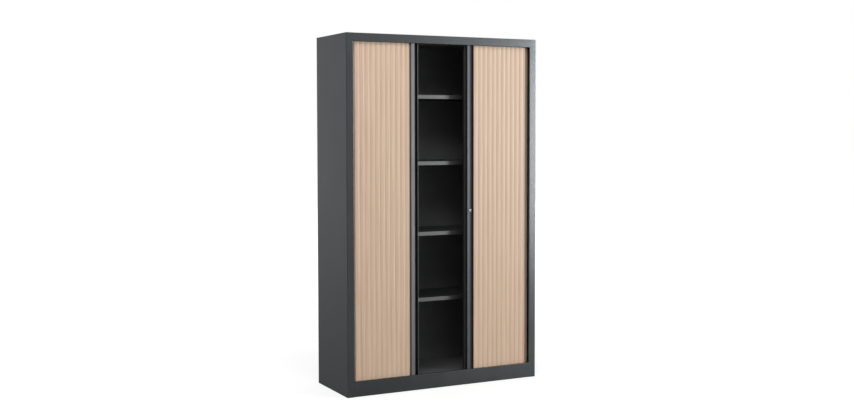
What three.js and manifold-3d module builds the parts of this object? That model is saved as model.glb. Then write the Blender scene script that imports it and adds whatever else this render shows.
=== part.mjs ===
// A tall steel cabinet whose two slatted doors slide round the front corners on curved tracks.
// Millimetres, +Z up. The origin is the middle of the footprint on the floor, and the doors face -Y.
// The doors stand part open, as far apart as in the photograph.
import * as THREE from "three";
import { mergeVertices } from "three/addons/utils/BufferGeometryUtils.js";
import Module from "manifold-3d";

const wasm = await Module();
wasm.setup();

// Case
const width = 1200;
const depth = 430;
const height = 1980;
const sheetThick = 1.5;
const fit = 0.3; // left between pieces that lie against each other
const postWidth = 42;
const postReturn = 9;
const railHeight = 46;
const plinthHeight = 86;
const flange = 20;
const backFlange = 30;

// Floor and ceiling inside the case
const floorTop = 78;
const ceilingDrop = 38;
const ceilingBottom = height - ceilingDrop;

// Curtains: slats hinged to each other along their back edges
const slatPitch = 30.3;
const slatGap = 1;
const slatThick = 7;
const slatEdge = 1.2;
const slatClear = 0.6; // under and over a slat
const slatArcSteps = 6;
const frontSlatCount = 11;
const cornerSlatCount = 7;

// Tracks, measured on the line that the slats' hinges follow
const hingeSetback = 26; // behind the case's front
const hingeBackset = 12; // in front of the case's rear
const hingeInset = 25; // inside the case's sides
const trackRadius = 40;
const trackArcSteps = 8;
const trackBase = 1.2;
const trackRib = 2;
const trackOut = 8; // its outer and inner edge, from the hinge line
const trackIn = 6;
const trackRail = [1, 4]; // the middle rib, under the slats
const trackRearRun = 110;
const trackMiddleGap = 1;

// How far the doors stand open: the front slats' ends, past the start of the corner arc
const leftSlatsPast = 8.3;
const rightSlatsPast = -7.7;

// Stiles, measured from the edge that leads when a door closes
const stileFront = 11; // behind the case's front
const stileBack = 32;
const grooveDepth = 14;
const lipWidth = 2.5;
const grooveEnd = 18;
const leftFaceEnd = 42;
const leftStileWidth = 46;
const rightFaceEnd = 44;
const rightStileWidth = 63;
const bandRecess = 7;
const flankSlope = 3;
const meetingGap = 1; // between the stiles of the closed doors

// Lock in the right stile, strike on the left one
const lockIn = 33; // from the right stile's lead
const lockHeight = 997;
const flangeRadius = 8;
const flangeThick = 2.5;
const barrelRadius = 6;
const lockSteps = 24;
const hookThick = 2;
const hookBehind = 3.3;
const hookHalfWidth = 7;
const hookNose = 8;
const pinRadius = 2.5;
const pinLength = 6.5;
const pinSteps = 16;
const pinOut = 10; // from the left stile's lead
const pinPlay = 0.6;
const strikeWidth = 20;
const strikeHeight = 34;
const strikeIn = 2;

// Inner walls and shelves
const linerInner = 556;
const linerFront = 110; // behind the case's front
const linerFold = 7.5;
const innerBack = 26; // in front of the case's rear
const slotPitch = 25;
const slotWidth = 10;
const slotHeight = 12;
const frontSlotRow = 135; // behind the case's front
const rearSlotRow = 70; // in front of the case's rear
const slotsPastShelf = 4;
const topCompartmentHeight = 287; // from the top shelf to the ceiling
const shelfSlotSteps = [46, 31, 15, 0]; // from the lowest shelf up, in slots below the top shelf
const shelfFront = 85;
const shelfLip = 25;
const shelfReturn = 12;
const shelfPlay = 0.5;
const tabWidth = 8;
const tabReach = 6;

const halfWidth = width / 2;
const front = -depth / 2;
const rear = depth / 2;
const hingeFront = front + hingeSetback;
const hingeRear = rear - hingeBackset;
const hingeSide = halfWidth - hingeInset;
const arcOut = hingeSide - trackRadius;
const frontArcY = hingeFront + trackRadius;
const rearArcY = hingeRear - trackRadius;
const slatBottom = floorTop + trackBase + trackRib + slatClear;
const slatTop = ceilingBottom - trackBase - trackRib - slatClear;
const postInner = halfWidth - postWidth;
const slotRows = [front + frontSlotRow, rear - rearSlotRow];
const shelfTops = shelfSlotSteps.map((steps) => ceilingBottom - topCompartmentHeight - steps * slotPitch);
const leftTail = arcOut + leftSlatsPast - frontSlatCount * slatPitch;
const rightTail = arcOut + rightSlatsPast - frontSlatCount * slatPitch;
const leftLead = leftTail - leftStileWidth;
const rightLead = rightTail - rightStileWidth;
const lockOut = rightLead + lockIn;

const steel = { color: 0x4b4f53, roughness: 0.45, metalness: 0.3 };
const inside = { color: 0x2a2b2d, roughness: 0.6, metalness: 0.2 };
const shelfSteel = { color: 0x5d5e60, roughness: 0.5, metalness: 0.3 };
const wood = { color: 0xcfb59e, roughness: 0.55, metalness: 0 };
const aluminium = { color: 0x83878c, roughness: 0.4, metalness: 0.6 };
const plastic = { color: 0x1d1d1f, roughness: 0.6, metalness: 0 };
const chrome = { color: 0xc4c7ca, roughness: 0.2, metalness: 1 };

const cabinet = new THREE.Group();

function place(name, geometry, look, x = 0, y = 0, z = 0, turn = 0) {
  const mesh = new THREE.Mesh(geometry, new THREE.MeshStandardMaterial(look));
  mesh.name = name;
  mesh.position.set(x, y, z);
  mesh.rotation.z = turn;
  cabinet.add(mesh);
}

function toSolid(geometry) {
  const bare = geometry.clone();
  bare.deleteAttribute("normal");
  bare.deleteAttribute("uv");
  const merged = mergeVertices(bare);
  const mesh = new wasm.Mesh({
    numProp: 3,
    vertProperties: new Float32Array(merged.attributes.position.array),
    triVerts: new Uint32Array(merged.index.array),
  });
  return new wasm.Manifold(mesh);
}

function toGeometry(solid) {
  const { vertProperties, triVerts } = solid.getMesh();
  const geometry = new THREE.BufferGeometry();
  geometry.setAttribute("position", new THREE.BufferAttribute(vertProperties, 3));
  geometry.setIndex(new THREE.BufferAttribute(triVerts, 1));
  return geometry;
}

function join(...geometries) {
  return toGeometry(geometries.map(toSolid).reduce((whole, solid) => whole.add(solid)));
}

function cut(geometry, ...tools) {
  return toGeometry(tools.map(toSolid).reduce((whole, solid) => whole.subtract(solid), toSolid(geometry)));
}

function box(xs, ys, zs) {
  const low = [xs, ys, zs].map((pair) => Math.min(...pair));
  const high = [xs, ys, zs].map((pair) => Math.max(...pair));
  const size = high.map((value, axis) => value - low[axis]);
  const middle = high.map((value, axis) => (value + low[axis]) / 2);
  return new THREE.BoxGeometry(...size).translate(...middle);
}

function outline(points) {
  return new THREE.Shape(points.map(([a, b]) => new THREE.Vector2(a, b)));
}

const axisX = new THREE.Vector3(1, 0, 0);
const axisY = new THREE.Vector3(0, 1, 0);
const axisZ = new THREE.Vector3(0, 0, 1);

// An outline seen from above, raised from one height to another.
function raise(shape, bottom, top, curveSegments = 1) {
  const options = { depth: top - bottom, bevelEnabled: false, curveSegments };
  return new THREE.ExtrudeGeometry(shape, options).translate(0, 0, bottom);
}

// An outline of (Y, Z) points, run along X.
function runAcross(shape, from, to) {
  const turned = new THREE.Matrix4().makeBasis(axisY, axisZ, axisX);
  return raise(shape, from, to).applyMatrix4(turned);
}

// An outline of (X, Z) points, from its far side at yFar forward to yNear.
function runForward(shape, yFar, yNear) {
  const turned = new THREE.Matrix4().makeBasis(axisX, axisZ, axisY.clone().negate());
  return raise(shape, -yFar, -yNear).applyMatrix4(turned);
}

// The outline of bent sheet: a line of points with straight bends, and the same line moved
// one thickness to its left.
function bentSheet(points, thick = sheetThick) {
  const line = points.map(([a, b]) => new THREE.Vector2(a, b));
  const normals = line.slice(1).map((point, i) => {
    const along = point.clone().sub(line[i]).normalize();
    return new THREE.Vector2(-along.y, along.x);
  });
  const moved = line.map((point, i) => {
    const before = normals[Math.max(i - 1, 0)];
    const after = normals[Math.min(i, normals.length - 1)];
    const bisector = before.clone().add(after).normalize();
    return point.clone().addScaledVector(bisector, thick / bisector.dot(before));
  });
  return new THREE.Shape([...line, ...moved.reverse()]);
}

const mirrored = (points, sign) => points.map(([x, y]) => [x * sign, y]);

// Case: sides with the front posts folded on, top with the front rail, plinth and back

function sidePanel(name, sign) {
  const fold = [
    [postInner, front],
    [halfWidth, front],
    [halfWidth, rear],
    [halfWidth - backFlange, rear],
  ];
  const points = sign > 0 ? fold : mirrored(fold, sign).reverse();
  const wall = raise(bentSheet(points), 0, height);
  const returnX = [postInner, postInner - sheetThick].map((x) => x * sign);
  const returnY = [front, front + postReturn];
  place(name, join(wall, box(returnX, returnY, [plinthHeight, height - railHeight])), steel);
}

function topPanel() {
  const backFold = rear - 2 * sheetThick - fit;
  const fold = [
    [backFold, height - backFlange],
    [backFold, height],
    [front, height],
    [front, height - railHeight],
  ];
  const inner = halfWidth - sheetThick - fit;
  const notches = [-1, 1].map((sign) => {
    const xs = [(postInner - fit) * sign, (halfWidth + flange) * sign];
    return box(xs, [front - flange, front + sheetThick + fit], [height - backFlange * 2, height + flange]);
  });
  place("top_panel", cut(runAcross(bentSheet(fold), -inner, inner), ...notches), steel);
}

function plinth() {
  const fold = [
    [front, plinthHeight],
    [front, 0],
    [front + flange, 0],
  ];
  const half = postInner - fit;
  place("plinth", runAcross(bentSheet(fold), -half, half), steel);
}

function flatPanel(name, level, up, look) {
  const nearFold = front + sheetThick + fit;
  const farFold = rear - 3 * sheetThick - 2 * fit;
  const points = [
    [nearFold, level + flange * up],
    [nearFold, level],
    [farFold, level],
    [farFold, level + flange * up],
  ];
  const half = halfWidth - sheetThick - fit;
  place(name, runAcross(bentSheet(up > 0 ? points : points.reverse()), -half, half), look);
}

function backPanel() {
  const half = halfWidth - sheetThick - fit;
  place("back_panel", box([-half, half], [rear - sheetThick, rear - 2 * sheetThick], [0, height]), steel);
}

// Inner walls, which hide the curtains' side runs and carry the shelves

const slotLow = shelfTops[0] - slotsPastShelf * slotPitch;
const slotHigh = shelfTops.at(-1) + slotsPastShelf * slotPitch;
const slotZ = [];
for (let z = slotLow; z <= slotHigh; z += slotPitch) {
  slotZ.push(z);
}
const linerY = [front + linerFront, rear - innerBack - sheetThick - fit];

function liner(name, sign) {
  const inner = linerInner * sign;
  const outer = (linerInner + sheetThick) * sign;
  const wall = box([inner, outer], linerY, [floorTop, ceilingBottom]);
  const foldX = [inner, outer + linerFold * sign];
  const fold = box(foldX, [linerY[0], linerY[0] + sheetThick], [floorTop, ceilingBottom]);
  const slots = slotRows.flatMap((row) =>
    slotZ.map((z) => {
      const ys = [row - slotWidth / 2, row + slotWidth / 2];
      const low = z - sheetThick - fit;
      return box([inner - tabReach, outer + tabReach], ys, [low, low + slotHeight]);
    }),
  );
  place(name, cut(join(wall, fold), ...slots), inside);
}

function innerBackPanel() {
  const half = linerInner - fit;
  const ys = [rear - innerBack - sheetThick, rear - innerBack];
  place("inner_back", box([-half, half], ys, [floorTop, ceilingBottom]), inside);
}

function shelf(name, top) {
  const near = front + shelfFront;
  const far = linerY[1] - shelfPlay;
  const fold = [
    [near + shelfReturn, -shelfLip],
    [near, -shelfLip],
    [near, 0],
    [far, 0],
    [far, -shelfLip],
    [far - shelfReturn, -shelfLip],
  ].reverse();
  const half = linerInner - shelfPlay;
  const tabs = slotRows.flatMap((row) =>
    [-1, 1].map((sign) => {
      const xs = [(half - tabReach) * sign, (half + tabReach) * sign];
      const ys = [row - tabWidth / 2, row + tabWidth / 2];
      return box(xs, ys, [-sheetThick, 0]);
    }),
  );
  place(name, join(runAcross(bentSheet(fold), -half, half), ...tabs), shelfSteel, 0, 0, top);
}

// Tracks: a shallow channel round both corners, one over and one under each curtain

// The hinge line moved outwards by offset, as points from the middle of the front to the rear run's end.
function trackLine(offset) {
  const line = [[trackMiddleGap, hingeFront - offset]];
  const radius = trackRadius + offset;
  for (let i = 0; i <= trackArcSteps; i++) {
    const turn = (i / trackArcSteps) * (Math.PI / 2);
    line.push([arcOut + radius * Math.sin(turn), frontArcY - radius * Math.cos(turn)]);
  }
  for (let i = 0; i <= trackArcSteps; i++) {
    const turn = (i / trackArcSteps) * (Math.PI / 2);
    line.push([arcOut + radius * Math.cos(turn), rearArcY + radius * Math.sin(turn)]);
  }
  line.push([arcOut - trackRearRun, hingeRear + offset]);
  return line;
}

function band(inner, outer, sign) {
  return outline(mirrored([...trackLine(outer), ...trackLine(inner).reverse()], sign));
}

function track(name, sign, base, up) {
  const face = base + trackBase * up;
  const levels = (a, b) => [Math.min(a, b), Math.max(a, b)];
  const channel = raise(band(-trackIn, trackOut, sign), ...levels(base, face));
  const tips = levels(face - (trackBase / 2) * up, face + trackRib * up);
  const ribs = [[trackOut - trackRib, trackOut], trackRail, [-trackIn, trackRib - trackIn]];
  place(name, join(channel, ...ribs.map((edges) => raise(band(...edges, sign), ...tips))), plastic);
}

// Curtains

function hingeLine(s) {
  const arcLength = (trackRadius * Math.PI) / 2;
  if (s <= 0) {
    return new THREE.Vector2(arcOut + s, hingeFront);
  }
  if (s < arcLength) {
    const turn = s / trackRadius;
    const out = new THREE.Vector2(Math.sin(turn), -Math.cos(turn)).multiplyScalar(trackRadius);
    return out.add(new THREE.Vector2(arcOut, frontArcY));
  }
  return new THREE.Vector2(hingeSide, frontArcY + s - arcLength);
}

// Where along the hinge line a slat ends that starts at s: one pitch away as the crow flies.
function slatEnd(s) {
  const start = hingeLine(s);
  let near = s;
  let far = s + 2 * slatPitch;
  for (let halvings = 0; halvings < 50; halvings++) {
    const middle = (near + far) / 2;
    if (hingeLine(middle).distanceTo(start) < slatPitch) {
      near = middle;
    } else {
      far = middle;
    }
  }
  return near;
}

// Start, end and direction of each slat, from the stile outwards. The front ones lie straight.
function slatPlaces(stileTail) {
  const places = [];
  for (let i = 0; i < frontSlatCount; i++) {
    const start = new THREE.Vector2(stileTail + i * slatPitch, hingeFront);
    const end = new THREE.Vector2(start.x + slatPitch, hingeFront);
    places.push({ start, end, turn: 0 });
  }
  let s = stileTail + frontSlatCount * slatPitch - arcOut;
  let start = places.at(-1).end;
  for (let i = 0; i < cornerSlatCount; i++) {
    s = slatEnd(s);
    const end = hingeLine(s);
    places.push({ start, end, turn: end.clone().sub(start).angle() });
    start = end;
  }
  return places;
}

// A slat's section: flat at the back, bowed at the front, thin at both edges.
function slatSection() {
  const near = slatGap / 2;
  const far = slatPitch - slatGap / 2;
  const half = (far - near) / 2;
  const rise = slatThick - slatEdge;
  const radius = (half * half + rise * rise) / (2 * rise);
  const reach = Math.asin(half / radius);
  const shape = new THREE.Shape();
  shape.moveTo(near, 0);
  shape.lineTo(near, -slatEdge);
  const down = -Math.PI / 2;
  shape.absarc(slatPitch / 2, radius - slatThick, radius, down - reach, down + reach, false);
  shape.lineTo(far, 0);
  return shape;
}

function curtain(side, sign, stileTail) {
  slatPlaces(stileTail).forEach(({ start, end, turn }, i) => {
    const name = `slat_${side}_${String(i + 1).padStart(2, "0")}`;
    const from = sign > 0 ? start : end;
    const geometry = raise(slatSection(), slatBottom, slatTop, slatArcSteps);
    place(name, geometry, wood, from.x * sign, from.y, 0, turn * sign);
  });
}

// Stiles: a lip, a finger groove and a flat face. The right one has a set-back band beside its face.

function stileSection(lead, faceEnd, width, bandDepth) {
  const near = front + stileFront;
  const far = front + stileBack;
  const slatFace = hingeFront - slatThick;
  const floor = near + grooveDepth;
  const tail = lead + width - slatGap / 2;
  const flank = bandDepth > 0
    ? [[lead + faceEnd, near + bandDepth], [tail, near + bandDepth]]
    : [[lead + faceEnd + flankSlope, slatFace], [tail, slatFace]];
  return [
    [lead, near],
    [lead + lipWidth, near],
    [lead + lipWidth, floor],
    [lead + grooveEnd, floor],
    [lead + grooveEnd, near],
    [lead + faceEnd, near],
    ...flank,
    [tail, far],
    [lead, far],
  ];
}

function stiles() {
  const left = mirrored(stileSection(leftLead, leftFaceEnd, leftStileWidth, 0), -1);
  place("stile_left", raise(outline(left), slatBottom, slatTop), aluminium);
  const section = outline(stileSection(rightLead, rightFaceEnd, rightStileWidth, bandRecess));
  const right = raise(section, slatBottom, slatTop);
  const boreRadius = barrelRadius + fit;
  const bore = new THREE.CylinderGeometry(boreRadius, boreRadius, depth, lockSteps);
  place("stile_right", cut(right, bore.translate(lockOut, 0, lockHeight)), aluminium);
}

// Lock: a turning barrel with a hook behind the stile, and the pin that the hook catches

const leftTravel = leftLead - meetingGap / 2;
const rightTravel = rightLead - meetingGap / 2;
const hookReach = lockOut - rightTravel + (leftLead + pinOut - leftTravel);
const hookFace = front + stileBack + hookBehind;

function lathe(points, steps) {
  return new THREE.LatheGeometry(points.map(([r, y]) => new THREE.Vector2(r, y)), steps);
}

function lock() {
  const flangeBack = front + stileFront - fit;
  const barrel = lathe([
    [0, flangeBack - flangeThick],
    [flangeRadius, flangeBack - flangeThick],
    [flangeRadius, flangeBack],
    [barrelRadius, flangeBack],
    [barrelRadius, hookFace],
    [0, hookFace],
  ], lockSteps);
  place("lock_barrel", barrel, chrome, lockOut, 0, lockHeight);
  const slotHalf = pinRadius + pinPlay;
  const hook = outline([
    [-hookHalfWidth, hookHalfWidth],
    [-hookHalfWidth, slotHalf - hookReach],
    [slotHalf, slotHalf - hookReach],
    [slotHalf, -slotHalf - hookReach],
    [-hookHalfWidth, -slotHalf - hookReach],
    [-hookHalfWidth, -hookReach - hookNose],
    [hookHalfWidth, -hookReach - hookNose],
    [hookHalfWidth, hookHalfWidth],
  ]);
  place("lock_hook", runForward(hook, hookFace + hookThick, hookFace), chrome, lockOut, 0, lockHeight);
}

function strike() {
  const face = front + stileBack;
  const plateX = [-(leftLead + strikeIn), -(leftLead + strikeIn + strikeWidth)];
  const plateZ = [lockHeight - strikeHeight / 2, lockHeight + strikeHeight / 2];
  const plate = box(plateX, [face, face + sheetThick], plateZ);
  const pin = new THREE.CylinderGeometry(pinRadius, pinRadius, pinLength, pinSteps);
  pin.translate(-(leftLead + pinOut), face + pinLength / 2 + sheetThick / 2, lockHeight);
  place("strike_plate", join(plate, pin), chrome);
}

sidePanel("side_panel_left", -1);
sidePanel("side_panel_right", 1);
topPanel();
plinth();
flatPanel("floor_panel", floorTop, -1, inside);
flatPanel("ceiling_panel", ceilingBottom, 1, inside);
backPanel();
liner("liner_left", -1);
liner("liner_right", 1);
innerBackPanel();
shelfTops.forEach((top, i) => shelf(`shelf_${i + 1}`, top));
track("track_bottom_left", -1, floorTop, 1);
track("track_bottom_right", 1, floorTop, 1);
track("track_top_left", -1, ceilingBottom, -1);
track("track_top_right", 1, ceilingBottom, -1);
curtain("left", -1, leftTail);
curtain("right", 1, rightTail);
stiles();
lock();
strike();

export default cabinet;
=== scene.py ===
import math

import bmesh
import bpy
from mathutils import Euler, Matrix, Vector

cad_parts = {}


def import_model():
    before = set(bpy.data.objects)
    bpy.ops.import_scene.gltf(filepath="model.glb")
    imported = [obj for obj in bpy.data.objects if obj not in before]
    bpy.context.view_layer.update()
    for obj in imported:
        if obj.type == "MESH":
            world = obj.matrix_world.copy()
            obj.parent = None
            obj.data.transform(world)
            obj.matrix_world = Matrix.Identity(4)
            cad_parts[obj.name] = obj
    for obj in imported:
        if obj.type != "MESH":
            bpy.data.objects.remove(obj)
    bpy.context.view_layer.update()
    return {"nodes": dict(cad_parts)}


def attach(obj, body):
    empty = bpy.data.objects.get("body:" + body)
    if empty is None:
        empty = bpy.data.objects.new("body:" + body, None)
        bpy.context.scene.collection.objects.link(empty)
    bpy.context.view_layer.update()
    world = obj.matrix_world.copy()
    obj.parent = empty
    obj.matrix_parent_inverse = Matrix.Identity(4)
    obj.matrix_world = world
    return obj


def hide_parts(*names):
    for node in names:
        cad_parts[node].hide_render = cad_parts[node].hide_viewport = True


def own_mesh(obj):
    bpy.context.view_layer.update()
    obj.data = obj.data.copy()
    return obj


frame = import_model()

scene = bpy.context.scene
scene.view_settings.view_transform = "Standard"

# Every size down to the studio's is in millimetres, in the same frame as the solids.
MM = 0.001

# Which way each side lies along X
SIDES = {"left": -1, "right": 1}

# Case
HALF_WIDTH = 600
FRONT = -215
REAR = 215
HEIGHT = 1980
SHEET = 1.5
BEND = 1.6
RIM = 0.5
FIT = 0.3
POST_INNER = 558
POST_RETURN = 9
RAIL_BOTTOM = 1934
PLINTH_TOP = 86
BACK_FLANGE = 30
FOOT_FLANGE = 20

# Beads of the back. A bead is flat over twice BEAD_HALF, with a slope on each side. Its full
# height ends BEAD_END from the cabinet's foot and top, and runs out beyond that.
BEADS = [-300, 0, 300]
BEAD_HALF = 6
BEAD_SLOPE = 12
BEAD_RISE = 1.3
BEAD_END = 194
BEAD_RUN_OUT = 24
BEAD_STEPS = 4
BETWEEN_BEADS = [-450, -150, 150, 450]
BACK_LEVELS = [700, 1300]

# Rivets of the back
RIVET_RADIUS = 3.6
RIVET_DOME = 1.4
RIVET_INSET = 12
RIVETS_ACROSS = 9
RIVET_STEP_ACROSS = 120
RIVETS_UP = 10
RIVET_STEP_UP = 191
RIVET_FIRST_UP = 130
RIVET_FOOT_ROW = 40
RIVET_TOP_ROW = HEIGHT - 14

# Inside
WALL_INNER = 556
SHELF_TOPS = [505, 880, 1280, 1655]
SHELF_FRONT = -130
SHELF_REAR = 186.7
SHELF_LIP = 25
SHELF_RETURN = 12
SHELF_GAP = 0.5
HOOK_ROWS = [-80, 145]
HOOK_WIDTH = 8
HOOK_REACH = 6
HOOK_ROOT = 1
HOOK_SKIN = 0.05

# Curtains and the line that their hinges follow
SLAT_PITCH = 30.3
SLAT_SEAM = 0.12
CORNER_SEAM = 0.8
SLAT_EDGE = 4.6
SLAT_CROWN = 1.3
SLAT_ROUND = 0.5
SLAT_BOTTOM = 81.8
SLAT_TOP = 1938.2
HINGE_FRONT = -189
ARC_OUT = 535
ARC_Y = -149
ARC_RADIUS = 40
FRONT_SLATS = 11
CORNER_SLATS = 7
# How far past the start of the corner the last front slat ends
SLATS_PAST = {"left": 8.3, "right": -7.7}
# Seeds of the slats' tones
FRONT_SEEDS = {"left": 5, "right": 11}
CORNER_SEED = 3

# Stiles, measured outwards from the middle of the cabinet
STILE_FACE = -204
STILE_BACK = -183
GROOVE_FLOOR = -190
LIP = 2.5
STILES = {
    "left": {
        "lead": 164, "groove_end": 182, "change": 185.5, "face_end": 206,
        "slope": 3, "recess": 8, "tail": 209.94, "tail_round": 0.4,
    },
    "right": {
        "lead": 131, "groove_end": 149, "change": 164.5, "face_end": 175,
        "slope": 0, "recess": 7, "tail": 193.94, "tail_round": 0.5,
    },
}
ALUMINIUM_BANDS = {"left": [(163, 168), (187, 209)], "right": [(148, 164)]}
SEAL_FRONT = -199
SEAL_REAR = -195
SEAL_FACING = -0.9

# Lock. A turned shape is a line of (radius, depth).
LOCK_X = 164
LOCK_Z = 997
BORE_LINE = [(0, -250), (6.3, -250), (6.3, -150), (0, -150)]
BARREL_LINE = [
    (0, -205.4), (4.9, -205.4), (5.1, -205.6), (5.2, -206.3), (5.5, -206.7), (7.3, -206.7),
    (7.8, -206.4), (8, -205.9), (8, -204.5), (7.8, -204.3), (6, -204.3), (6, -179.8), (0, -179.8),
]
KEYWAY_WIDTH = 1.1
KEYWAY_HEIGHT = 6.2
KEYWAY_ROUND = 0.45
KEYWAY_ENDS = (-212, -203.2)
HOOK_Y = -179.7
HOOK_THICK = 2
HOOK_HALF = 7
HOOK_DROP = 44
HOOK_FOOT = 8
MOUTH = 3.1
HUB_LINE = [(0, 2), (4.6, 2), (4.6, 2.3), (3.9, 3.2), (0, 3.4)]

# Strike plate, its pin and its screws
STRIKE_X = 166
STRIKE_WIDTH = 20
STRIKE_HEIGHT = 34
STRIKE_ROUND = 2.5
PIN_X = 174
PIN_LINE = [(0, 1), (3.6, 1), (3.6, 1.9), (2.5, 2.3), (2.5, 6.6), (2.1, 7.2), (0, 7.2)]
SCREW_LINE = [(0, 1.2), (3.2, 1.2), (3.2, 1.6), (2.2, 2.4), (0.8, 2.5), (0.8, 1.7), (0, 1.7)]
SCREW_INSET = 6

# Drawing, with angles in degrees. Points closer than SAME are one, a corner whose half angle is
# over STRAIGHT isn't rounded, and an arc takes up at most ARC_SHARE of the line beside it.
SAME = 1e-6
STRAIGHT = 89
ARC_SHARE = 0.48
# Broken edges: from which angle, in how many steps, and how much the large faces set the shading
EDGE_ANGLE = 50
EDGE_STEPS = 2
FACE_WEIGHT = 100
# The points of a slat's section, and how often the search for a slat's end halves its step
ROUND_POINTS = 4
BOW_CUTS = 11
WELD = 0.01
HALVINGS = 50

# Studio, in metres, radians and watts. The lens and its sensor are in millimetres.
CAMERA_PLACE = (-2.9925, -5.8621, 1.4551)
CAMERA_TURN = (math.pi / 2 - 0.0478, 0.0016, -0.4714)
CAMERA_LENS = 47.93
CAMERA_SENSOR = 36
CAMERA_SHIFT = -0.024
CAMERA_REACH = 60
FLOOR_HALF = 14
FLOOR_LEVEL = -0.0005
FLOOR_DARK = 0.42
FLOOR_LIGHT = 0.46
SHADOW_NEAR = 0.9
SHADOW_FAR = 4.5
BEHIND_X = (-0.6, 0.2)
BEHIND_Y = (0.4, 1.2)
# What the eye and a reflection get from the floor and the world, where 1 is white. The floor
# gives the eye FLOOR_SEEN_FAR more far away, and a reflection FLOOR_MIRRORED_BEHIND more behind.
FLOOR_SEEN = 0.74
FLOOR_SEEN_FAR = 0.26
FLOOR_MIRRORED = 0.08
FLOOR_MIRRORED_BEHIND = 0.3
WORLD_MIRRORED = 0.06
WORLD_LIGHT = 0.36
# Each lamp's place, what it faces, its width, its height and its power.
LAMPS = {
    "key": ((6.9, -5.7, 2.3), (0.1, 0, 1.3), 0.9, 1.0, 212),
    "window": ((5.94, -6.53, 1.37), (0.1, 0, 1.4), 1.6, 2.7, 275),
    "fill": ((-1.6, -2.7, 4.0), (-0.2, 0, 1.7), 3.0, 1.2, 62),
    "upper": ((2.1, -6.0, 2.8), (0, 0, 1.9), 2.4, 0.8, 3.8),
    "reflector": ((-3.4, 4.0, 1.6), (-0.6, 0, 1.2), 3.0, 2.6, 30),
    "low_reflector": ((-3.0, 4.0, 0.5), (-0.6, 0, 0.8), 2.4, 0.9, 3),
    "rear_side": ((2.6, 3.6, 0.9), (0, 0.2, 0.9), 2.4, 1.6, 6),
    "rear": ((0, 4.8, 1.0), (0, 0.2, 1.0), 1.1, 1.6, 14),
}


# Shapes drawn one by one

def rounded(points, radii, steps=4):
    """A closed line of points with its corners turned into arcs."""
    line = [Vector(p) for p in points]
    if isinstance(radii, (int, float)):
        radii = [radii] * len(line)
    out = []
    for i, corner in enumerate(line):
        back = line[i - 1] - corner
        ahead = line[(i + 1) % len(line)] - corner
        if radii[i] <= 0 or back.length < SAME or ahead.length < SAME:
            out.append(corner)
            continue
        half = back.angle(ahead) / 2
        if half > math.radians(STRAIGHT):
            out.append(corner)
            continue
        longest = (back.length * ARC_SHARE, ahead.length * ARC_SHARE)
        reach = min(radii[i] / math.tan(half), *longest)
        radius = reach * math.tan(half)
        back.normalize()
        ahead.normalize()
        centre = corner + (back + ahead).normalized() * (radius / math.sin(half))
        first = corner + back * reach - centre
        last = corner + ahead * reach - centre
        sweep = math.atan2(first.x * last.y - first.y * last.x, first.dot(last))
        for k in range(steps + 1):
            turn = sweep * k / steps
            out.append(centre + Matrix.Rotation(turn, 2) @ first)
    return out


def folded_sheet(points):
    """The outline of folded sheet on the left of a line of points, its bends and rims rounded."""
    line = [Vector(p) for p in points]
    normals = []
    for a, b in zip(line, line[1:]):
        along = (b - a).normalized()
        normals.append(Vector((-along.y, along.x)))
    moved = []
    near_radii = []
    far_radii = []
    for i, point in enumerate(line):
        before = normals[max(i - 1, 0)]
        after = normals[min(i, len(normals) - 1)]
        bisector = (before + after).normalized()
        moved.append(point + bisector * (SHEET / bisector.dot(before)))
        left_turn = before.x * after.y - before.y * after.x
        if i in (0, len(line) - 1):
            near_radii.append(RIM)
            far_radii.append(RIM)
        else:
            near_radii.append(BEND + SHEET if left_turn > 0 else BEND)
            far_radii.append(BEND if left_turn > 0 else BEND + SHEET)
    return rounded(line + moved[::-1], near_radii + far_radii[::-1])


def prism(mesh, section, low, high, axis):
    """Adds a closed section, run from low to high along X, Y or Z, to a bmesh, in metres."""
    def at(point, level):
        u, v = point
        spot = {"X": (level, u, v), "Y": (u, level, v), "Z": (u, v, level)}[axis]
        return mesh.verts.new(Vector(spot) * MM)

    bottom = [at(p, low) for p in section]
    top = [at(p, high) for p in section]
    count = len(section)
    for i in range(count):
        j = (i + 1) % count
        mesh.faces.new((bottom[i], bottom[j], top[j], top[i]))
    mesh.faces.new(bottom[::-1])
    mesh.faces.new(top)


def block(mesh, xs, ys, zs):
    """Adds a plain box to a bmesh."""
    x0, x1 = sorted(xs)
    y0, y1 = sorted(ys)
    prism(mesh, [(x0, y0), (x1, y0), (x1, y1), (x0, y1)], *sorted(zs), "Z")


def lathe(mesh, line, centre, steps, base=0):
    """Turns a line of (radius, depth) round an axis along Y. Depths count from base."""
    rings = []
    for radius, depth in line:
        y = base + depth
        if radius < SAME:
            rings.append([mesh.verts.new(Vector((centre[0], y, centre[1])) * MM)])
            continue
        ring = []
        for k in range(steps):
            a = 2 * math.pi * k / steps
            x = centre[0] + radius * math.cos(a)
            z = centre[1] + radius * math.sin(a)
            ring.append(mesh.verts.new(Vector((x, y, z)) * MM))
        rings.append(ring)
    for inner, outer in zip(rings, rings[1:]):
        for k in range(steps):
            j = (k + 1) % steps
            corners = [
                inner[k % len(inner)], inner[j % len(inner)],
                outer[j % len(outer)], outer[k % len(outer)],
            ]
            mesh.faces.new(list(dict.fromkeys(corners)))


def mirrored(points, sign):
    """The same line on the other side, still with its sheet on the left."""
    if sign > 0:
        return points
    return [(-x, y) for x, y in points][::-1]


def new_object(name, mesh, material):
    """A piece from a bmesh: facing out, with its object at the origin."""
    bmesh.ops.recalc_face_normals(mesh, faces=mesh.faces)
    data = bpy.data.meshes.new(name)
    mesh.to_mesh(data)
    mesh.free()
    data.materials.append(material)
    piece = bpy.data.objects.new(name, data)
    scene.collection.objects.link(piece)
    return piece


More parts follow.
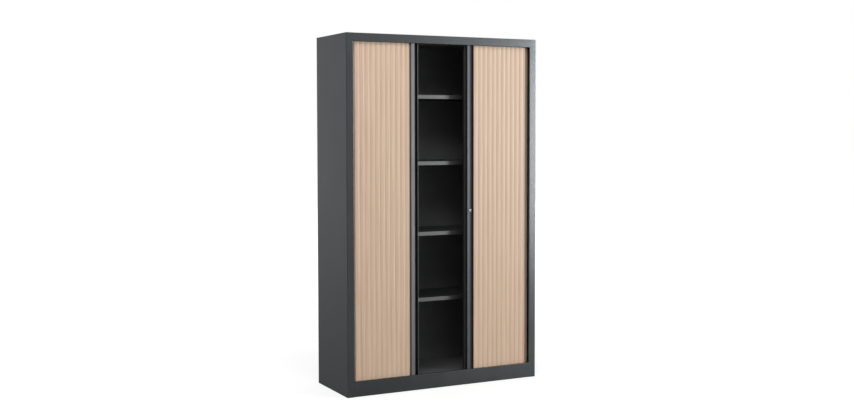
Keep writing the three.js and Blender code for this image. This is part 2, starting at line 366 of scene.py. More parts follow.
def plain_mesh(piece):
    """Leaves what the modifiers made as the piece's own mesh."""
    bpy.context.view_layer.update()
    graph = bpy.context.evaluated_depsgraph_get()
    shape = piece.evaluated_get(graph)
    made = bpy.data.meshes.new_from_object(shape, preserve_all_data_layers=True, depsgraph=graph)
    piece.modifiers.clear()
    piece.data = made
    return piece


def soften(piece, width=0, smooth=35):
    """Breaks the sharp edges by a width, and shades turns of less than smooth degrees round."""
    if width > 0:
        edge = piece.modifiers.new("edges", "BEVEL")
        edge.width = width * MM
        edge.segments = EDGE_STEPS
        edge.limit_method = "ANGLE"
        edge.angle_limit = math.radians(EDGE_ANGLE)
        edge.use_clamp_overlap = True
        plain_mesh(piece)
    for face in piece.data.polygons:
        face.use_smooth = True
    piece.data.set_sharp_from_angle(angle=math.radians(smooth))
    flats = piece.modifiers.new("flats", "WEIGHTED_NORMAL")
    flats.keep_sharp = True
    flats.weight = FACE_WEIGHT
    return plain_mesh(piece)


def bore(piece, cutter):
    """Takes the cutter's shape out of the piece."""
    taken = piece.modifiers.new("bore", "BOOLEAN")
    taken.operation = "DIFFERENCE"
    taken.solver = "EXACT"
    taken.object = cutter
    plain_mesh(piece)
    bpy.data.objects.remove(cutter)


def fit_out(piece, body, slot, *nodes):
    """Says what the finished piece moves with and the solids that it stands for. Its finish, slot,
    is not used.
    """
    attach(piece, body)
    if nodes:
        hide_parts(*nodes)


# Nodes

class Wire:
    """A node's output that takes part in sums. Each operator adds its Math node."""

    def __init__(self, wiring, socket):
        self.wiring = wiring
        self.socket = socket

    def __add__(self, other):
        return self.wiring.math("ADD", self, other)

    __radd__ = __add__

    def __mul__(self, other):
        return self.wiring.math("MULTIPLY", self, other)

    __rmul__ = __mul__

    def __sub__(self, other):
        return self.wiring.math("SUBTRACT", self, other)

    def __rsub__(self, other):
        return self.wiring.math("SUBTRACT", other, self)


class Wiring:
    """A tree of nodes for a finish, a rule or the world."""

    def __init__(self, tree):
        self.tree = tree

    def add(self, kind, settings=None, values=None, out=0):
        """Any node: its settings first, then its sockets' values or links. Returns one output.

        A socket that takes several links gets them as a list.
        """
        node = self.tree.nodes.new(kind)
        for name, value in (settings or {}).items():
            setattr(node, name, value)
        for name, value in (values or {}).items():
            for one in value if isinstance(value, list) else [value]:
                self.feed(node.inputs[name], one)
        return Wire(self, node.outputs[out])

    def feed(self, socket, value):
        """Links a wire to a socket, or sets the socket's own value."""
        if isinstance(value, Wire):
            self.tree.links.new(value.socket, socket)
        else:
            socket.default_value = value

    def math(self, operation, *values):
        """One Math node."""
        return self.add("ShaderNodeMath", {"operation": operation}, dict(enumerate(values)))

    def mix(self, share, first, second):
        """A colour between two. The Mix node's colours are its sockets 6 and 7 and its output 2."""
        sockets = {0: share, 6: first, 7: second}
        return self.add("ShaderNodeMix", {"data_type": "RGBA"}, sockets, out=2)

    def parts(self, vector):
        """A vector's X, Y and Z."""
        first = self.add("ShaderNodeSeparateXYZ", None, {0: vector})
        return [Wire(self, output) for output in first.socket.node.outputs]

    def ray(self, kind):
        """1 for a ray of this kind and 0 for any other."""
        return self.add("ShaderNodeLightPath", out=kind)


# Finishes

class Finish(Wiring):
    """One material and the nodes that feed its shader."""

    def __init__(self, name, **constants):
        self.material = bpy.data.materials.new(name)
        self.material.use_nodes = True
        super().__init__(self.material.node_tree)
        self.shader = self.tree.nodes["Principled BSDF"]
        for socket, value in constants.items():
            title = socket.replace("_", " ").title().replace("Ior", "IOR")
            self.shader.inputs[title].default_value = value
        self.place = self.add("ShaderNodeTexCoord", out="Object")

    def span(self, value, low, high):
        """0 below low and 1 above high, or the other way round, with soft ends."""
        sockets = {"Value": value, "From Min": low, "From Max": high}
        return self.add("ShaderNodeMapRange", {"interpolation_type": "SMOOTHSTEP"}, sockets)

    def axes(self):
        """The three object coordinates, in metres."""
        return self.parts(self.place)

    def stretched(self, x, y, z):
        """Object coordinates scaled unevenly, for a pattern that runs one way."""
        return self.add("ShaderNodeMapping", None, {"Vector": self.place, "Scale": (x, y, z)})

    def noise(self, scale, detail, roughness, place=None):
        """Noise with so many waves a metre. A stretched place gives each way its own number."""
        sockets = {
            "Vector": place or self.place,
            "Scale": scale,
            "Detail": detail,
            "Roughness": roughness,
        }
        return self.add("ShaderNodeTexNoise", None, sockets)

    def bump(self, height, strength, distance, before=None):
        """Relief of up to distance metres, on top of the relief before it."""
        sockets = {"Height": height, "Strength": strength, "Distance": distance}
        if before:
            sockets["Normal"] = before
        return self.add("ShaderNodeBump", None, sockets)

    def dress(self, color, roughness=None, normal=None, metallic=None, glow=None):
        """Feeds the shader and returns the finished material."""
        pairs = {
            "Base Color": color,
            "Roughness": roughness,
            "Normal": normal,
            "Metallic": metallic,
            "Emission Color": glow,
        }
        for socket, value in pairs.items():
            if value is not None:
                self.feed(self.shader.inputs[socket], value)
        return self.material


def tone(red, green, blue):
    """A colour as it looks on screen, 0 to 255, as the shader wants it."""
    def linear(value):
        value /= 255
        return value / 12.92 if value <= 0.04045 else ((value + 0.055) / 1.055) ** 2.4

    return (linear(red), linear(green), linear(blue), 1)


def grey(level):
    """A grey, from 0, black, to 1, white, as the shader wants it."""
    return (level, level, level, 1)


def shaded(color, share):
    """A colour made darker or lighter."""
    return tuple(min(1, part * share) for part in color[:3]) + (1,)


def powder_coat(name, color, gloss, peel, scuffs=0, sheen=(1, 1, 1, 1), dull=0):
    """Stoved powder paint on steel: orange peel, faint clouding, dust and rubbed spots low down.

    With dull, the flanks and the top are rougher than the front, which is wiped more often.
    """
    finish = Finish(name, specular_ior_level=1.0, specular_tint=sheen)
    x, _, z = finish.axes()
    cloud = finish.noise(2.6, 3, 0.6)
    speck = finish.noise(1400, 2, 0.6)
    grains = finish.noise(420, 2, 0.5)
    body = finish.mix(finish.span(cloud, 0.3, 0.7), shaded(color, 0.86), shaded(color, 1.16))
    body = finish.mix(finish.span(speck, 0.62, 0.75) * 0.35, body, shaded(color, 1.7))
    dust = finish.span(z, 0.16, 0.0) * finish.span(finish.noise(7, 4, 0.65), 0.42, 0.68)
    body = finish.mix(dust * 0.03, body, tone(128, 124, 118))
    if scuffs:
        streaks = finish.noise(1, 5, 0.7, finish.stretched(16, 16, 90))
        rubbed = finish.span(streaks, 0.66, 0.74) * finish.span(z, 0.5, 0.02) * scuffs
        body = finish.mix(rubbed, body, tone(120, 124, 128))
    rough = gloss + (cloud - 0.5) * 0.10 + (speck - 0.5) * 0.05 + dust * 0.03
    if dull:
        near_side, at_side = 0.9988 * HALF_WIDTH * MM, 0.9998 * HALF_WIDTH * MM
        near_top, at_top = 0.9995 * HEIGHT * MM, 0.9999 * HEIGHT * MM
        flank = finish.span(x * x, near_side ** 2, at_side ** 2)
        above = finish.span(z, near_top, at_top)
        rough = rough + finish.math("MAXIMUM", flank, above) * dull
    peeled = finish.bump(grains, peel, 0.0006)
    fine = finish.bump(speck, peel * 0.5, 0.0002, peeled)
    return finish.dress(body, rough, fine)


def slat_foil():
    """Pale wood-coloured foil on the slats: long fine grain, pores and a soft satin."""
    finish = Finish("pale_wood_foil", specular_ior_level=0.4)
    own = finish.add("ShaderNodeAttribute", {"attribute_name": "slat_tone"}, out="Fac")
    long_grain = finish.noise(1, 6, 0.62, finish.stretched(210, 210, 2.6))
    pores = finish.noise(1, 3, 0.6, finish.stretched(900, 900, 22))
    drift = finish.noise(1, 3, 0.5, finish.stretched(14, 14, 0.9))
    pale = tone(215, 188, 164)
    deep = tone(189, 160, 134)
    body = finish.mix(finish.span(long_grain, 0.28, 0.72), deep, pale)
    body = finish.mix(finish.span(drift, 0.35, 0.7) * 0.35, body, tone(205, 176, 149))
    body = finish.mix(finish.span(pores, 0.6, 0.75) * 0.22, body, tone(166, 134, 106))
    body = finish.mix(own * 0.2, body, tone(192, 165, 143))
    rough = 0.42 + (long_grain - 0.5) * 0.12 + finish.span(pores, 0.55, 0.75) * 0.08
    relief = finish.bump(long_grain, 0.12, 0.0004)
    fine = finish.bump(pores, 0.10, 0.0002, relief)
    return finish.dress(body, rough, fine)


def drawn_aluminium(name, dark, light):
    """Grey anodised aluminium with the faint lines of drawing along its length."""
    finish = Finish(name, specular_ior_level=0.5)
    lines = finish.noise(1, 4, 0.65, finish.stretched(1500, 1500, 3))
    cloud = finish.noise(5, 3, 0.55)
    handled = finish.span(finish.noise(18, 4, 0.6), 0.45, 0.75)
    body = finish.mix(finish.span(lines, 0.3, 0.7), dark, light)
    body = finish.mix(finish.span(cloud, 0.35, 0.7) * 0.3, body, dark)
    rough = 0.34 + (lines - 0.5) * 0.16 + handled * 0.08
    return finish.dress(body, rough, finish.bump(lines, 0.12, 0.0002), metallic=0.55)


def moulded_plastic():
    """Matt black moulded plastic with a spark-eroded grain."""
    finish = Finish("black_track_plastic", specular_ior_level=0.45)
    grain = finish.noise(900, 3, 0.6)
    rub = finish.span(finish.noise(30, 3, 0.6), 0.5, 0.75)
    body = finish.mix(rub * 0.4, tone(24, 24, 26), tone(52, 52, 54))
    rough = 0.52 - rub * 0.14 + (grain - 0.5) * 0.1
    return finish.dress(body, rough, finish.bump(grain, 0.2, 0.0002))


def profile_black(name, dark, light):
    """Satin black extruded profile with fine die lines along it."""
    finish = Finish(name, specular_ior_level=0.22)
    lines = finish.noise(1, 4, 0.6, finish.stretched(1100, 1100, 4))
    rub = finish.span(finish.noise(12, 4, 0.6), 0.5, 0.78)
    body = finish.mix(finish.span(lines, 0.3, 0.7), dark, light)
    body = finish.mix(rub * 0.25, body, tone(40, 40, 42))
    rough = 0.54 + (lines - 0.5) * 0.14 - rub * 0.08
    return finish.dress(body, rough, finish.bump(lines, 0.12, 0.0002))


def rubber_seal():
    """Matt black strip between the right stile and its slats, with a fine drag along it."""
    finish = Finish("black_rubber_seal", specular_ior_level=0.05)
    drag = finish.noise(1, 3, 0.6, finish.stretched(1300, 1300, 12))
    body = finish.mix(finish.span(drag, 0.3, 0.7), tone(17, 17, 18), tone(27, 27, 28))
    rough = 0.8 + (drag - 0.5) * 0.2
    return finish.dress(body, rough, finish.bump(drag, 0.15, 0.0002))


def nickel_plate():
    """Nickel plate with hair scratches and a little dulling."""
    finish = Finish("bright_nickel")
    hair = finish.noise(1, 4, 0.7, finish.stretched(3000, 3000, 400))
    dull = finish.noise(240, 3, 0.6)
    body = finish.mix(finish.span(dull, 0.35, 0.7), tone(150, 152, 155), tone(122, 124, 128))
    rough = 0.24 + finish.span(dull, 0.4, 0.7) * 0.12 + (hair - 0.5) * 0.06
    return finish.dress(body, rough, finish.bump(hair, 0.08, 0.0001), metallic=1.0)


def keyway_black():
    """Painted shade: the keyway's walls are coloured near black, for the shade deep in the slot."""
    finish = Finish("keyway_black", specular_ior_level=0.2)
    grain = finish.noise(1600, 2, 0.5)
    body = finish.mix(finish.span(grain, 0.3, 0.7), tone(10, 10, 11), tone(24, 23, 22))
    return finish.dress(body, 0.6 + (grain - 0.5) * 0.2)


CASE_PAINT = powder_coat(
    "anthracite_powder_coat",
    tone(32, 33, 32),
    gloss=0.23,
    peel=0.10,
    scuffs=0.06,
    sheen=(0.86, 0.94, 1, 1),
    dull=0.36,
)
# The inside's grey is far lighter than the case's paint: painted light that lifts the dim, shaded
# inside.
INSIDE_COAT_PAINTED_LIGHT = powder_coat("dark_inside_coat", tone(92, 93, 95), gloss=0.5, peel=0.12)
SHELF_PAINT = powder_coat("shelf_powder_coat", tone(44, 45, 47), gloss=0.42, peel=0.12)
FOIL = slat_foil()
# One grey aluminium in two tones: painted light on the left stile's bands, painted shade on the
# right stile's.
ALUMINIUM_LIT_AND_SHADED = {
    "left": drawn_aluminium("grey_anodised_left", tone(96, 98, 101), tone(124, 127, 131)),
    "right": drawn_aluminium("grey_anodised_right", tone(66, 70, 75), tone(84, 89, 95)),
}
# One black profile in two tones: painted shade on the left stile, painted light on the right.
PROFILE_LIT_AND_SHADED = {
    "left": profile_black("black_profile_left", tone(11, 12, 14), tone(19, 20, 22)),
    "right": profile_black("black_profile_right", tone(42, 43, 44), tone(53, 54, 55)),
}
SEAL = rubber_seal()
PLASTIC = moulded_plastic()
NICKEL = nickel_plate()
KEYWAY_PAINTED_SHADE = keyway_black()


# Repeats, by Geometry Nodes

class Rule(Wiring):
    """A Geometry Nodes tree with named inputs for its sizes."""

    def __init__(self, name):
        super().__init__(bpy.data.node_groups.new(name, "GeometryNodeTree"))
        self.new_socket("Geometry", "OUTPUT", "Geometry")
        self.entry = self.tree.nodes.new("NodeGroupInput")
        self.exit = self.tree.nodes.new("NodeGroupOutput")
        self.names = {}

    def new_socket(self, name, way, kind):
        """A socket on the tree's outside. Returns its identifier."""
        kind = f"NodeSocket{kind}"
        return self.tree.interface.new_socket(name, in_out=way, socket_type=kind).identifier

    def size(self, name, kind="Float"):
        """A named input."""
        self.names[name] = self.new_socket(name, "INPUT", kind)
        return Wire(self, next(s for s in self.entry.outputs if s.identifier == self.names[name]))

    def end(self, geometry, material):
        """Realizes the instances and sets the finish."""
        real = self.add("GeometryNodeRealizeInstances", None, {"Geometry": geometry})
        finish = {"Geometry": real, "Material": material}
        self.feed(self.exit.inputs[0], self.add("GeometryNodeSetMaterial", None, finish))

    def make(self, name, values):
        """A plain object that the tree made with these sizes."""
        piece = bpy.data.objects.new(name, bpy.data.meshes.new(name))
        scene.collection.objects.link(piece)
        maker = piece.modifiers.new("rule", "NODES")
        maker.node_group = self.tree
        for key, value in values.items():
            maker[self.names[key]] = value
        return plain_mesh(piece)


# Case

def case_side(side):
    """One side with its front post, the post's return and the rear flange, in one folded sheet."""
    sign = SIDES[side]
    wall = [(HALF_WIDTH, FRONT), (HALF_WIDTH, REAR), (HALF_WIDTH - BACK_FLANGE, REAR)]
    plain = [(POST_INNER, FRONT)] + wall
    edge = POST_INNER - SHEET
    returned = [(edge, FRONT + POST_RETURN), (edge, FRONT)] + wall
    mesh = bmesh.new()
    prism(mesh, folded_sheet(mirrored(plain, sign)), 0, PLINTH_TOP, "Z")
    prism(mesh, folded_sheet(mirrored(returned, sign)), PLINTH_TOP, RAIL_BOTTOM, "Z")
    prism(mesh, folded_sheet(mirrored(plain, sign)), RAIL_BOTTOM, HEIGHT, "Z")
    piece = soften(new_object(f"case_side_{side}", mesh, CASE_PAINT))
    fit_out(piece, "case", "case_steel", f"side_panel_{side}")


def case_top():
    """The top with its front rail, rail return and rear flange, notched round the posts."""
    far = REAR - 2 * SHEET - FIT
    top = [(far, HEIGHT - BACK_FLANGE), (far, HEIGHT)]
    rail = top + [(FRONT, HEIGHT), (FRONT, RAIL_BOTTOM), (FRONT + POST_RETURN, RAIL_BOTTOM)]
    plain = top + [(FRONT + SHEET + FIT, HEIGHT)]
    inner = POST_INNER - FIT
    outer = HALF_WIDTH - SHEET - FIT
    mesh = bmesh.new()
    prism(mesh, folded_sheet(rail), -inner, inner, "X")
    prism(mesh, folded_sheet(plain), inner, outer, "X")
    prism(mesh, folded_sheet(plain), -outer, -inner, "X")
    piece = soften(new_object("case_top", mesh, CASE_PAINT))
    fit_out(piece, "case", "case_steel", "top_panel")


def case_plinth():
    """The plinth, folded back at its top and under its foot."""
    line = [
        (FRONT + POST_RETURN, PLINTH_TOP),
        (FRONT, PLINTH_TOP),
        (FRONT, 0),
        (FRONT + FOOT_FLANGE, 0),
    ]
    inner = POST_INNER - FIT
    mesh = bmesh.new()
    prism(mesh, folded_sheet(line), -inner, inner, "X")
    piece = soften(new_object("case_plinth", mesh, CASE_PAINT))
    fit_out(piece, "case", "case_steel", "plinth")


def pressed(value, middle, half, slope):
    """1 on a pressed bead and 0 beside it, with soft slopes."""
    share = min(1, max(0, (half + slope - abs(value - middle)) / slope))
    return share * share * (3 - 2 * share)


def case_back():
    """The back sheet, stiffened by tall beads that are pressed outwards."""
    inner = HALF_WIDTH - SHEET - FIT
    far = REAR - SHEET
    middle = HEIGHT / 2
    shares = [k / BEAD_STEPS for k in range(BEAD_STEPS + 1)]
    slopes = [BEAD_HALF + BEAD_SLOPE * share for share in shares]
    ends = [BEAD_END - BEAD_RUN_OUT * share for share in shares]
    bead_xs = [bead + sign * slope for bead in BEADS for sign in (-1, 1) for slope in slopes]
    xs = sorted([-inner, inner] + BETWEEN_BEADS + bead_xs)
    zs = sorted([0, HEIGHT] + BACK_LEVELS + ends + [HEIGHT - end for end in ends])

    def rise(x, z):
        across = max(pressed(x, bead, BEAD_HALF, BEAD_SLOPE) for bead in BEADS)
        return BEAD_RISE * across * pressed(z, middle, middle - BEAD_END, BEAD_RUN_OUT)

    mesh = bmesh.new()
    sheets = []
    for y in (far - SHEET, far):
        spots = [[Vector((x, y + rise(x, z), z)) * MM for z in zs] for x in xs]
        sheets.append([[mesh.verts.new(spot) for spot in row] for row in spots])
    rims = []
    for grid in sheets:
        for a, b in zip(grid, grid[1:]):
            for k in range(len(zs) - 1):
                mesh.faces.new((a[k], b[k], b[k + 1], a[k + 1]))
        foot = [row[0] for row in grid]
        head = [row[-1] for row in grid[-2::-1]]
        rims.append(foot + grid[-1][1:] + head + grid[0][-2:0:-1])
    near, outer = rims
    for k in range(len(near)):
        j = (k + 1) % len(near)
        mesh.faces.new((near[k], near[j], outer[j], outer[k]))
    piece = soften(new_object("case_back", mesh, CASE_PAINT))
    fit_out(piece, "case", "case_steel", "back_panel")


def rivet_rule():
    """A row of domed rivet heads: their number, spacing, radius and height are its inputs."""
    rule = Rule("rivet_rows")
    count = rule.size("Rivets", "Int")
    first = rule.size("First", "Vector")
    step = rule.size("Step", "Vector")
    radius = rule.size("Radius")
    tall = rule.size("Dome height")
    material = rule.size("Finish", "Material")
    fineness = {"Segments": 24, "Rings": 12, "Radius": 1}
    ball = rule.add("GeometryNodeMeshUVSphere", None, fineness)
    flat = rule.add("ShaderNodeCombineXYZ", None, {"X": radius, "Y": tall, "Z": radius})
    dome = rule.add("GeometryNodeTransform", None, {"Geometry": ball, "Scale": flat})
    line = {"Count": count, "Start Location": first, "Offset": step}
    row = rule.add("GeometryNodeMeshLine", None, line)
    heads = rule.add("GeometryNodeInstanceOnPoints", None, {"Points": row, "Instance": dome})
    rule.end(heads, material)
    return rule


def rivets():
    """Rivet heads on the back sheet, in a row along each of its edges."""
    rule = rivet_rule()
    level = REAR - SHEET
    start = -RIVET_STEP_ACROSS * (RIVETS_ACROSS - 1) / 2
    edge = HALF_WIDTH - BACK_FLANGE - RIVET_INSET
    across = (RIVET_STEP_ACROSS, 0, 0)
    up = (0, 0, RIVET_STEP_UP)
    rows = {
        "rivets_top": (RIVETS_ACROSS, (start, level, RIVET_TOP_ROW), across),
        "rivets_foot": (RIVETS_ACROSS, (start, level, RIVET_FOOT_ROW), across),
        "rivets_left": (RIVETS_UP, (-edge, level, RIVET_FIRST_UP), up),
        "rivets_right": (RIVETS_UP, (edge, level, RIVET_FIRST_UP), up),
    }
    for name, (count, first, step) in rows.items():
        values = {
            "Rivets": count,
            "First": Vector(first) * MM,
            "Step": Vector(step) * MM,
            "Radius": RIVET_RADIUS * MM,
            "Dome height": RIVET_DOME * MM,
            "Finish": CASE_PAINT,
        }
        fit_out(soften(rule.make(name, values), smooth=60), "case", "case_steel")


# Inside

def shelf_board(number, top):
    """A shelf folded down at the front and the back, with four hooks in the walls' slots."""
    line = [
        (SHELF_REAR - SHELF_RETURN, top - SHELF_LIP),
        (SHELF_REAR, top - SHELF_LIP),
        (SHELF_REAR, top),
        (SHELF_FRONT, top),
        (SHELF_FRONT, top - SHELF_LIP),
        (SHELF_FRONT + SHELF_RETURN, top - SHELF_LIP),
    ]
    half = WALL_INNER - SHELF_GAP
    mesh = bmesh.new()
    prism(mesh, folded_sheet(line), -half, half, "X")
    for row in HOOK_ROWS:
        ys = [row - HOOK_WIDTH / 2, row + HOOK_WIDTH / 2]
        zs = [top - SHEET + HOOK_SKIN, top - HOOK_SKIN]
        for sign in (-1, 1):
            block(mesh, [sign * (half - HOOK_ROOT), sign * (half + HOOK_REACH)], ys, zs)
    piece = soften(new_object(f"shelf_board_{number}", mesh, SHELF_PAINT), width=0.25)
    fit_out(piece, "case", "shelf_steel", f"shelf_{number}")


# Curtains

def curtain_rule():
    """A row of crowned slats: section, length, step and turn are its inputs."""
    rule = Rule("slat_row")
    slats = rule.size("Slats", "Int")
    first = rule.size("First", "Vector")
    step = rule.size("Step", "Vector")
    turn = rule.size("Turn")
    width = rule.size("Slat width")
    edge = rule.size("Edge thickness")
    crown = rule.size("Crown")
    length = rule.size("Length")
    seed = rule.size("Tone seed", "Int")
    material = rule.size("Finish", "Material")

    section = {"Width": width, "Height": edge}
    outline = rule.add("GeometryNodeCurvePrimitiveQuadrilateral", None, section)
    corner = {"Curve": outline, "Radius": SLAT_ROUND * MM, "Count": ROUND_POINTS}
    soft = rule.add("GeometryNodeFilletCurve", {"mode": "POLY"}, corner)
    fine = rule.add("GeometryNodeSubdivideCurve", None, {"Curve": soft, "Cuts": BOW_CUTS})
    across, depth, _ = rule.parts(rule.add("GeometryNodeInputPosition"))
    share = rule.math("DIVIDE", across, width * 0.5)
    raised = crown * rule.math("MAXIMUM", 1 - share * share, 0)
    in_front = rule.math("LESS_THAN", depth, 0)
    shift = raised * in_front * -1 - edge * 0.5
    offset = rule.add("ShaderNodeCombineXYZ", None, {"Y": shift})
    bowed = rule.add("GeometryNodeSetPosition", None, {"Geometry": fine, "Offset": offset})
    foot = rule.add("GeometryNodeFillCurve", {"mode": "NGONS"}, {"Curve": bowed})
    rise = rule.add("ShaderNodeCombineXYZ", None, {"Z": length})
    upward = {"Mesh": foot, "Offset": rise, "Offset Scale": 1, "Individual": False}
    tall = rule.add("GeometryNodeExtrudeMesh", None, upward)
    under = rule.add("GeometryNodeFlipFaces", None, {"Mesh": foot})
    both = rule.add("GeometryNodeJoinGeometry", None, {"Geometry": [tall, under]})
    weld = {"Geometry": both, "Distance": WELD * MM}
    slat = rule.add("GeometryNodeMergeByDistance", None, weld)

    line = {"Count": slats, "Start Location": first, "Offset": step}
    row = rule.add("GeometryNodeMeshLine", None, line)
    facing = rule.add("ShaderNodeCombineXYZ", None, {"Z": turn})
    sockets = {"Points": row, "Instance": slat, "Rotation": facing}
    standing = rule.add("GeometryNodeInstanceOnPoints", None, sockets)
    chance = rule.add("FunctionNodeRandomValue", {"data_type": "FLOAT"}, {"Seed": seed}, out=1)
    toned = rule.add(
        "GeometryNodeStoreNamedAttribute",
        {"data_type": "FLOAT", "domain": "INSTANCE"},
        {"Geometry": standing, "Name": "slat_tone", "Value": chance},
    )
    rule.end(toned, material)
    return rule


def hinge_point(s):
    """Where the hinge line is, s millimetres past the start of the corner."""
    arc = ARC_RADIUS * math.pi / 2
    if s <= 0:
        return Vector((ARC_OUT + s, HINGE_FRONT))
    if s < arc:
        turn = s / ARC_RADIUS
        x = ARC_OUT + ARC_RADIUS * math.sin(turn)
        return Vector((x, ARC_Y - ARC_RADIUS * math.cos(turn)))
    return Vector((ARC_OUT + ARC_RADIUS, ARC_Y + s - arc))


def slat_end(s):
    """How far along the hinge line a slat ends that starts at s."""
    near, far = s, s + 2 * SLAT_PITCH
    for _ in range(HALVINGS):
        middle = (near + far) / 2
        if (hinge_point(middle) - hinge_point(s)).length < SLAT_PITCH:
            near = middle
        else:
            far = middle
    return near


def slat_values(start, end, sign, count, seed, seam):
    """The rule's inputs for slats that run from start to end, on one side of the cabinet."""
    if sign < 0:
        start, end = Vector((-end.x, end.y)), Vector((-start.x, start.y))
    along = (end - start) / count
    middle = start + along / 2
    return {
        "Slats": count,
        "First": Vector((middle.x, middle.y, SLAT_BOTTOM)) * MM,
        "Step": Vector((along.x, along.y, 0)) * MM,
        "Turn": math.atan2(along.y, along.x),
        "Slat width": (SLAT_PITCH - seam) * MM,
        "Edge thickness": SLAT_EDGE * MM,
        "Crown": SLAT_CROWN * MM,
        "Length": (SLAT_TOP - SLAT_BOTTOM) * MM,
        "Tone seed": seed,
        "Finish": FOIL,
    }


def curtain(side, rule):
    """The front slats as one piece, and each corner slat by itself."""
    sign = SIDES[side]
    past = SLATS_PAST[side]
    start = Vector((ARC_OUT + past - FRONT_SLATS * SLAT_PITCH, HINGE_FRONT))
    corner = Vector((ARC_OUT + past, HINGE_FRONT))
    values = slat_values(start, corner, sign, FRONT_SLATS, FRONT_SEEDS[side], SLAT_SEAM)
    piece = soften(rule.make(f"curtain_front_{side}", values), smooth=50)
    solids = [f"slat_{side}_{i:02d}" for i in range(1, FRONT_SLATS + 1)]
    fit_out(piece, f"door_{side}", "slat_wood_tone", *solids)
    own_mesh(piece)
    s = past
    for number in range(FRONT_SLATS + 1, FRONT_SLATS + CORNER_SLATS + 1):
        s = slat_end(s)
        after = hinge_point(s)
        values = slat_values(corner, after, sign, 1, number * CORNER_SEED + sign, CORNER_SEAM)
        slat = soften(rule.make(f"corner_slat_{side}_{number}", values), smooth=50)
        fit_out(slat, f"{side}_slat_{number}", "slat_wood_tone", f"slat_{side}_{number}")
        corner = after


# Stiles and lock

def stile_corners(lead, groove_end, change, face_end, slope, recess, tail, tail_round):
    """A stile's section: lip, finger groove, face and recessed flank. Each corner has its radius.

    The corner at change isn't rounded: it only divides the face where its finish changes.
    """
    flank = STILE_FACE + recess
    return [
        (lead, STILE_FACE, 0.8),
        (lead + LIP, STILE_FACE, 0.8),
        (lead + LIP, GROOVE_FLOOR, 1.2),
        (groove_end, GROOVE_FLOOR, 1.2),
        (groove_end, STILE_FACE, 0.9),
        (change, STILE_FACE, 0),
        (face_end, STILE_FACE, 0.9),
        (face_end + slope, flank, 0.6),
        (tail, flank, tail_round),
        (tail, STILE_BACK, 0.4),
        (lead, STILE_BACK, 0.6),
    ]


def stile_finish(face, side):
    """Which finish a face of a stile has: 0 is the profile's, 1 aluminium and 2 the seal."""
    spot = face.calc_center_median() / MM
    face.normal_update()
    if spot.y < SEAL_FRONT:
        return int(any(low < abs(spot.x) < high for low, high in ALUMINIUM_BANDS[side]))
    sealed = side == "right" and spot.y < SEAL_REAR and face.normal.y < SEAL_FACING
    return 2 if sealed else 0


def stile(side):
    """A black profile with aluminium on bands of its face.

    The right one also has the seal and the lock's bore.
    """
    corners = stile_corners(**STILES[side])
    points = [(x * SIDES[side], y) for x, y, _ in corners]
    mesh = bmesh.new()
    prism(mesh, rounded(points, [radius for _, _, radius in corners]), SLAT_BOTTOM, SLAT_TOP, "Z")
    for face in mesh.faces:
        face.material_index = stile_finish(face, side)
    piece = new_object(f"stile_profile_{side}", mesh, PROFILE_LIT_AND_SHADED[side])
    piece.data.materials.append(ALUMINIUM_LIT_AND_SHADED[side])
    if side == "right":
        piece.data.materials.append(SEAL)
        cutter = bmesh.new()
        lathe(cutter, BORE_LINE, (LOCK_X, LOCK_Z), 48)
        bore(piece, new_object("bore", cutter, PROFILE_LIT_AND_SHADED[side]))
    soften(piece, smooth=40)
    fit_out(piece, f"stile_{side}", "stile_aluminium", f"stile_{side}")


def lock():
    """A turned nickel barrel with its keyway."""
    mesh = bmesh.new()
    lathe(mesh, BARREL_LINE, (LOCK_X, LOCK_Z), 64)
    barrel = new_object("lock_cylinder", mesh, NICKEL)
    # The keyway's walls take the painted shade.
    barrel.data.materials.append(KEYWAY_PAINTED_SHADE)
    cutter = bmesh.new()
    wide, tall = KEYWAY_WIDTH / 2, KEYWAY_HEIGHT / 2
    slot = rounded([(-wide, -tall), (wide, -tall), (wide, tall), (-wide, tall)], KEYWAY_ROUND)
    prism(cutter, [(LOCK_X + x, LOCK_Z + z) for x, z in slot], *KEYWAY_ENDS, "Y")
    bore(barrel, new_object("keyway", cutter, KEYWAY_PAINTED_SHADE))
    soften(barrel, smooth=32)
    fit_out(barrel, "lock", "bright_metal", "lock_barrel")


def lock_hook():
    """The hook on the barrel's end: a pressed plate with a mouth for the pin, and its hub."""
    high, low = MOUTH - HOOK_DROP, -MOUTH - HOOK_DROP
    foot = -HOOK_DROP - HOOK_FOOT
    corners = [
        (-HOOK_HALF, HOOK_HALF, 5),
        (-HOOK_HALF, high, 1.2),
        (MOUTH, high, 3),
        (MOUTH, low, 3),
        (-HOOK_HALF, low, 1.2),
        (-HOOK_HALF, foot, 3.5),
        (HOOK_HALF, foot, 5),
        (HOOK_HALF, HOOK_HALF, 6.5),
    ]
    outline = rounded([(x, z) for x, z, _ in corners], [radius for _, _, radius in corners], 6)
    mesh = bmesh.new()
    shape = [(LOCK_X + x, LOCK_Z + z) for x, z in outline]
    prism(mesh, shape, HOOK_Y, HOOK_Y + HOOK_THICK, "Y")
    lathe(mesh, HUB_LINE, (LOCK_X, LOCK_Z), 32, HOOK_Y)
    piece = soften(new_object("lock_hook_plate", mesh, NICKEL), width=0.3)
    fit_out(piece, "lock", "bright_metal", "lock_hook")


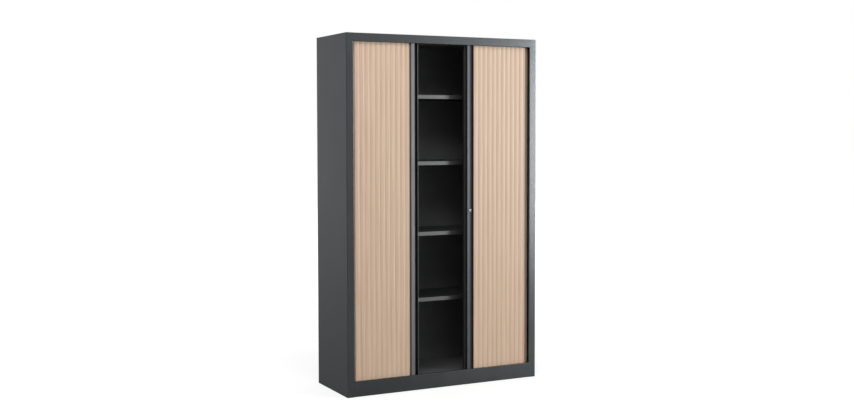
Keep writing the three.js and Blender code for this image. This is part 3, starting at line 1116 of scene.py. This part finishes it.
def strike():
    """The plate on the left stile's back, with the headed pin for the hook, and its two screws."""
    x0, x1 = -(STRIKE_X + STRIKE_WIDTH), -STRIKE_X
    z0, z1 = LOCK_Z - STRIKE_HEIGHT / 2, LOCK_Z + STRIKE_HEIGHT / 2
    mesh = bmesh.new()
    plate = rounded([(x0, z0), (x1, z0), (x1, z1), (x0, z1)], STRIKE_ROUND, 6)
    prism(mesh, plate, STILE_BACK, STILE_BACK + SHEET, "Y")
    lathe(mesh, PIN_LINE, (-PIN_X, LOCK_Z), 32, STILE_BACK)
    for level in (z0 + SCREW_INSET, z1 - SCREW_INSET):
        lathe(mesh, SCREW_LINE, (-PIN_X, level), 32, STILE_BACK)
    piece = soften(new_object("strike_plate_and_pin", mesh, NICKEL), width=0.2)
    fit_out(piece, "stile_left", "bright_metal", "strike_plate")


# Solids that stay as they are

def dress_solids(material, *nodes):
    """Gives each solid its finish."""
    for node in nodes:
        data = frame["nodes"][node].data
        data.materials.clear()
        data.materials.append(material)


# Studio

def place_camera():
    """The camera at the photograph's angle."""
    data = bpy.data.cameras.new("camera")
    data.lens = CAMERA_LENS
    data.sensor_width = CAMERA_SENSOR
    data.shift_y = CAMERA_SHIFT
    data.clip_end = CAMERA_REACH
    camera = bpy.data.objects.new("camera", data)
    camera.location = CAMERA_PLACE
    camera.rotation_euler = Euler(CAMERA_TURN, "XYZ")
    scene.collection.objects.link(camera)
    scene.camera = camera


def softbox(name, place, target, width, height, power):
    """A rectangular lamp that faces its target."""
    data = bpy.data.lights.new(name, "AREA")
    data.shape = "RECTANGLE"
    data.size = width
    data.size_y = height
    data.energy = power
    lamp = bpy.data.objects.new(name, data)
    scene.collection.objects.link(lamp)
    lamp.location = place
    lamp.visible_camera = False
    lamp.rotation_euler = (Vector(target) - Vector(place)).to_track_quat("-Z", "Y").to_euler()


def floor():
    """A pale floor that keeps the cabinet's shadow and is white beyond it.

    In reflections it is dim, and less so behind the cabinet.
    """
    finish = Finish("pale_floor", roughness=0.6, specular_ior_level=0.1, emission_strength=1.0)
    cloud = finish.noise(3, 3, 0.5)
    x, y, _ = finish.axes()
    away = finish.span(finish.math("POWER", x * x + y * y, 0.5), SHADOW_NEAR, SHADOW_FAR)
    behind = finish.span(y, *BEHIND_Y) * finish.span(x, *BEHIND_X)
    to_eye = FLOOR_SEEN + away * FLOOR_SEEN_FAR
    to_gloss = FLOOR_MIRRORED + behind * FLOOR_MIRRORED_BEHIND
    share = finish.ray("Is Camera Ray") * to_eye + finish.ray("Is Glossy Ray") * to_gloss
    body = finish.mix(cloud, grey(FLOOR_DARK), grey(FLOOR_LIGHT))
    finish.dress(body, glow=finish.mix(share, grey(0), grey(1)))
    mesh = bmesh.new()
    spots = [(-1, -1), (1, -1), (1, 1), (-1, 1)]
    corners = [(x * FLOOR_HALF, y * FLOOR_HALF, FLOOR_LEVEL) for x, y in spots]
    mesh.faces.new([mesh.verts.new(corner) for corner in corners])
    new_object("studio_floor", mesh, finish.material)


def world():
    """White to the eye, nearly black in reflections, and a calm grey as light."""
    scene.world = bpy.data.worlds.new("studio")
    scene.world.use_nodes = True
    sky = Wiring(scene.world.node_tree)
    dimmed = sky.ray("Is Glossy Ray") * WORLD_MIRRORED
    seen = sky.math("MAXIMUM", sky.ray("Is Camera Ray"), dimmed)
    shown = sky.math("MAXIMUM", seen, sky.ray("Is Transmission Ray"))
    color = sky.mix(shown, grey(WORLD_LIGHT), grey(1))
    sky.feed(sky.tree.nodes["Background"].inputs["Color"], color)


place_camera()
for name in SIDES:
    case_side(name)
case_top()
case_plinth()
case_back()
rivets()
for count, level in enumerate(SHELF_TOPS, 1):
    shelf_board(count, level)
slat_row = curtain_rule()
for name in SIDES:
    curtain(name, slat_row)
for name in SIDES:
    stile(name)
lock()
lock_hook()
strike()
dress_solids(INSIDE_COAT_PAINTED_LIGHT, "floor_panel", "ceiling_panel", "inner_back")
for name in SIDES:
    dress_solids(INSIDE_COAT_PAINTED_LIGHT, f"liner_{name}")
    dress_solids(PLASTIC, f"track_bottom_{name}", f"track_top_{name}")

floor()
world()
for name, lamp in LAMPS.items():
    softbox(name, *lamp)
